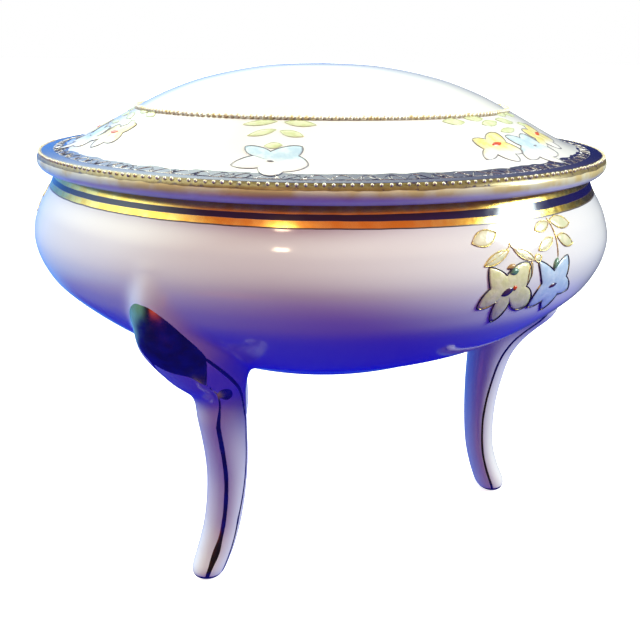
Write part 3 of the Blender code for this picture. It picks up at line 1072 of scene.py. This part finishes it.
def make_bowl_sprays(surface, looks):
    for number, azimuth in enumerate(BOWL_SPRAY_AZIMUTHS, start=1):
        name = f"bowl_spray_{number}"
        patches = {
            "yellow": Patch(surface, azimuth - 5.1, surface.distance_to(70.35, axis=1)),
            "blue": Patch(surface, azimuth + 5.6, surface.distance_to(69.3, axis=1)),
        }
        for colour, petals in (("yellow", BOWL_YELLOW), ("blue", BOWL_BLUE)):
            flower = f"{name}_{colour}_flower"
            fill, line = looks[colour], looks["dark_line"]
            make_flower(flower, patches[colour], petals, fill, line, 0.13, "base", f"{colour}_enamel")
        for part, *shape, look in BOWL_CENTRES:
            patch = patches[part.split("_")[0]]
            make_centre(f"{name}_{part}", patch, *shape, looks[look], "base")
        middle = Patch(surface, azimuth - 1.0, surface.distance_to(76.5, axis=1))
        make_leaves(name, middle, BOWL_LEAVES, BOWL_STEMS, looks, 0.12, "base")


def make_lid_sprays(surface, looks):
    """Six sprays round the lid, of one flower and of three flowers by turns."""
    lid_looks = {"leaf": looks["lid_leaf"], "leaf_line": looks["lid_leaf_line"]}
    for number, azimuth in enumerate(LID_SPRAY_AZIMUTHS, start=1):
        name = f"lid_spray_{number}"
        flowers = SINGLE_FLOWERS if number % 2 else TRIPLE_FLOWERS
        leaves = SINGLE_LEAVES if number % 2 else TRIPLE_LEAVES
        for flower, turn, radius, kind in flowers:
            petals, fill, slot, (*shape, look) = LID_KINDS[kind]
            patch = Patch(surface, azimuth + turn, surface.distance_to(radius, axis=0))
            piece = f"{name}_{flower}"
            make_flower(piece, patch, petals, looks[fill], looks["thin_line"], 0.08, "lid", slot)
            make_centre(piece, patch, *shape, looks[look], "lid")
        middle = Patch(surface, azimuth + 0.8, surface.distance_to(44.0, axis=0))
        make_leaves(name, middle, leaves, (), lid_looks, 0.05, "lid")


def make_scrolls(surface, look):
    """Fine gold lines that twine along the cobalt band."""
    inner, outer = COBALT_EDGE + 0.5, RIM_BEADS[0] - 0.9
    middle, swing = (inner + outer) / 2, (outer - inner) / 2
    paint = Paint()
    turns = np.linspace(0, FULL_TURN, 2400, endpoint=False)
    # How far a strand slides along the band, its waves round the lid, its phase and its swing
    strands = (
        (0.0, 47, 0.0, 1.0),
        (0.0, 47, math.pi, 1.0),
        (0.020, 80, 0.4, 0.62),
        (0.030, 33, 2.1, 0.85),
    )
    for slide, waves, phase, share in strands:
        azimuth = turns + slide * np.sin(waves * turns + phase)
        radius = middle + swing * share * np.cos(waves * turns + phase + 0.5 * np.sin(5 * turns))
        points, normals = surface.place(azimuth, surface.distance_to(radius, axis=0), 0.02)
        radii = LINE_RADIUS * (1 + 0.3 * np.sin(turns * 61) + 0.2 * np.sin(turns * 143))
        paint.add(*tube(points, normals, radii, closed=True, sides=4))
    paint.finish("lid_band_scrolls", look, "lid", "gold")


# --- Stage ---


def make_floor():
    """A plain pale floor that only the camera sees, so that it throws no light on the porcelain."""
    mesh = bpy.data.meshes.new("floor")
    half = FLOOR_HALF
    corners = [(-half, -half, 0), (half, -half, 0), (half, half, 0), (-half, half, 0)]
    mesh.from_pydata(corners, [], [(0, 1, 2, 3)])
    graph = material_graph("floor")
    graph.shader.inputs["Emission Color"].default_value = (1.0, 1.0, 1.0, 1.0)
    graph.shader.inputs["Emission Strength"].default_value = FLOOR_GLOW
    mesh.materials.append(graph.finish((0.9, 0.9, 0.9), 0.9))
    floor = bpy.data.objects.new("floor", mesh)
    bpy.context.scene.collection.objects.link(floor)
    for kind in ("diffuse", "glossy", "transmission", "volume_scatter", "shadow"):
        setattr(floor, f"visible_{kind}", False)


def make_world():
    """Soft surroundings: bright on one side, dim at the front, and a blue glow from below."""
    world = bpy.data.worlds.new("studio")
    bpy.context.scene.world = world
    graph = Graph(world)
    direction = graph.node("ShaderNodeTexCoord").outputs["Generated"]
    up = graph.towards(direction, 0.0, flat=0.0, up=1.0)
    front = graph.rise(graph.towards(direction, CAMERA_AZIMUTH), 0.01, 0.55)
    right = graph.rise(graph.towards(direction, CAMERA_AZIMUTH + 90), -0.40, 0.44)
    overhead = graph.towards(direction, CAMERA_AZIMUTH, flat=-0.34, up=0.94)
    glow = graph.towards(direction, GLOW_AZIMUTH, flat=0.87, up=-0.50)
    level = graph.mix(front, graph.mix(right, LEVEL_LEFT, LEVEL_RIGHT), LEVEL_FRONT)
    low = graph.mix(front, graph.mix(right, LOW_LEFT, LOW_RIGHT), LOW_FRONT)
    low = graph.mix(graph.rise(glow, 0.955, 0.99), low, RED_GLOW)
    colour = graph.mix(graph.rise(up, 0.08, 0.74), low, level)
    colour = graph.mix(graph.rise(up, -0.50, -0.34), BLUE_CLOTH, colour)
    colour = graph.mix(graph.rise(overhead, 0.84, 0.95), colour, DIM_OVERHEAD)
    seen = graph.node("ShaderNodeLightPath").outputs["Is Camera Ray"]
    background = graph.tree.nodes["Background"]
    graph.put(background.inputs["Color"], graph.mix(seen, colour, (1.0, 1.0, 1.0)))
    background.inputs["Strength"].default_value = 1.0


def add_light(name, azimuth, elevation, distance, size, power, colour, target=(0, 0, 75)):
    """A soft rectangular light that faces the target, all in millimetres."""
    light = bpy.data.lights.new(name, "AREA")
    light.shape = "RECTANGLE"
    light.size, light.size_y = size[0] * MM, size[1] * MM
    light.energy = power
    light.color = colour
    lamp = bpy.data.objects.new(name, light)
    bpy.context.scene.collection.objects.link(lamp)
    a, e = math.radians(azimuth), math.radians(elevation)
    offset = np.array([math.sin(a) * math.cos(e), -math.cos(a) * math.cos(e), math.sin(e)]) * distance
    place = (np.array(target) + offset) * MM
    lamp.location = place
    lamp.rotation_euler = Vector(-offset).to_track_quat("-Z", "Y").to_euler()


def make_lights():
    add_light("window", 112, 26, 900, (260, 340), 9.6, WINDOW_COLOUR)
    add_light("warm_lamp", 10, 43, 900, (70, 60), 0.5, LAMP_COLOUR)


def make_camera():
    camera = bpy.data.cameras.new("camera")
    camera.lens = CAMERA_LENS
    camera.sensor_width = 36.0
    camera.clip_start = 0.01
    eye = bpy.data.objects.new("camera", camera)
    bpy.context.scene.collection.objects.link(eye)
    turn = math.radians(CAMERA_AZIMUTH)
    place = (CAMERA_DISTANCE * math.sin(turn), -CAMERA_DISTANCE * math.cos(turn), CAMERA_HEIGHT)
    eye.matrix_world = (
        Matrix.Translation([value * MM for value in place])
        @ Matrix.Rotation(turn, 4, "Z")
        @ Matrix.Rotation(math.radians(90 - CAMERA_PITCH), 4, "X")
        @ Matrix.Rotation(math.radians(CAMERA_ROLL), 4, "Z")
    )
    bpy.context.scene.camera = eye


# --- Everything together ---


def make_looks():
    return {
        "yellow": enamel("bowl_yellow_enamel", (0.74, 0.74, 0.38), (0.84, 0.82, 0.50)),
        "blue": enamel("bowl_blue_enamel", (0.50, 0.68, 0.84), (0.62, 0.77, 0.90)),
        # the last pair of radii on the lid enamels marks a painted highlight
        "pale_yellow": enamel("lid_yellow_enamel", (0.76, 0.66, 0.20), (0.82, 0.77, 0.44), (49.6, 52.0)),
        "pale_blue": enamel("lid_blue_enamel", (0.48, 0.64, 0.76), (0.64, 0.76, 0.82), (51.0, 53.5)),
        "navy": enamel("navy_enamel", (0.03, 0.03, 0.12), (0.08, 0.03, 0.08)),
        "red": enamel("red_enamel", (0.72, 0.10, 0.02), (0.55, 0.05, 0.02)),
        "bud": enamel("bud_enamel", (0.10, 0.22, 0.16), (0.20, 0.34, 0.22)),
        "bronze": enamel("bronze_enamel", (0.42, 0.24, 0.08), (0.55, 0.36, 0.14)),
        "leaf": enamel("bowl_leaf_enamel", (0.68, 0.70, 0.42), (0.82, 0.78, 0.54)),
        "lid_leaf": enamel("lid_leaf_enamel", (0.60, 0.66, 0.36), (0.70, 0.76, 0.50)),
        "leaf_line": gilt_line("bowl_leaf_line", (0.50, 0.36, 0.20), 0.3, 0.6),
        "lid_leaf_line": gilt_line("lid_leaf_line", (0.52, 0.58, 0.34), 0.5, 0.9),
        # flower outlines: worn gold whose navy-dark is partly a painted dark reflection
        "dark_line": gilt_line("flower_line", (0.03, 0.025, 0.06), 0.56, 0.70),
        "thin_line": gilt_line("lid_flower_line", (0.20, 0.20, 0.24), 0.6, 0.85),
        "scroll": gilt_line("scroll_line", (0.02, 0.015, 0.06), 0.42, 0.58, (0.74, 0.66, 0.60)),
    }


def main():
    bpy.context.scene.view_settings.view_transform = "Standard"
    make_camera()
    make_floor()
    make_world()
    make_lights()
    looks = make_looks()
    make_bowl(bowl_material())
    leg_look = leg_material()
    for name, (azimuth, flare, ridge) in LEGS.items():
        make_leg(name, azimuth, flare, ridge, leg_look)
    make_lid(lid_material())
    make_flange(plain_glaze())
    bowl_surface = Surface(BOWL_OUTSIDE)
    lid_surface = Surface(lid_outside())
    rolled = Surface(np.vstack([lid_outside(), arc(ROLL_CENTRE, ROLL_RADIUS, 75, 0, 15)]))
    beads = bead_material()
    make_beads("rim_beading", rolled, RIM_BEADS, beads)
    make_beads("shoulder_beading", lid_surface, SHOULDER_BEADS, beads)
    make_bowl_sprays(bowl_surface, looks)
    make_lid_sprays(lid_surface, looks)
    make_scrolls(lid_surface, looks["scroll"])


main()
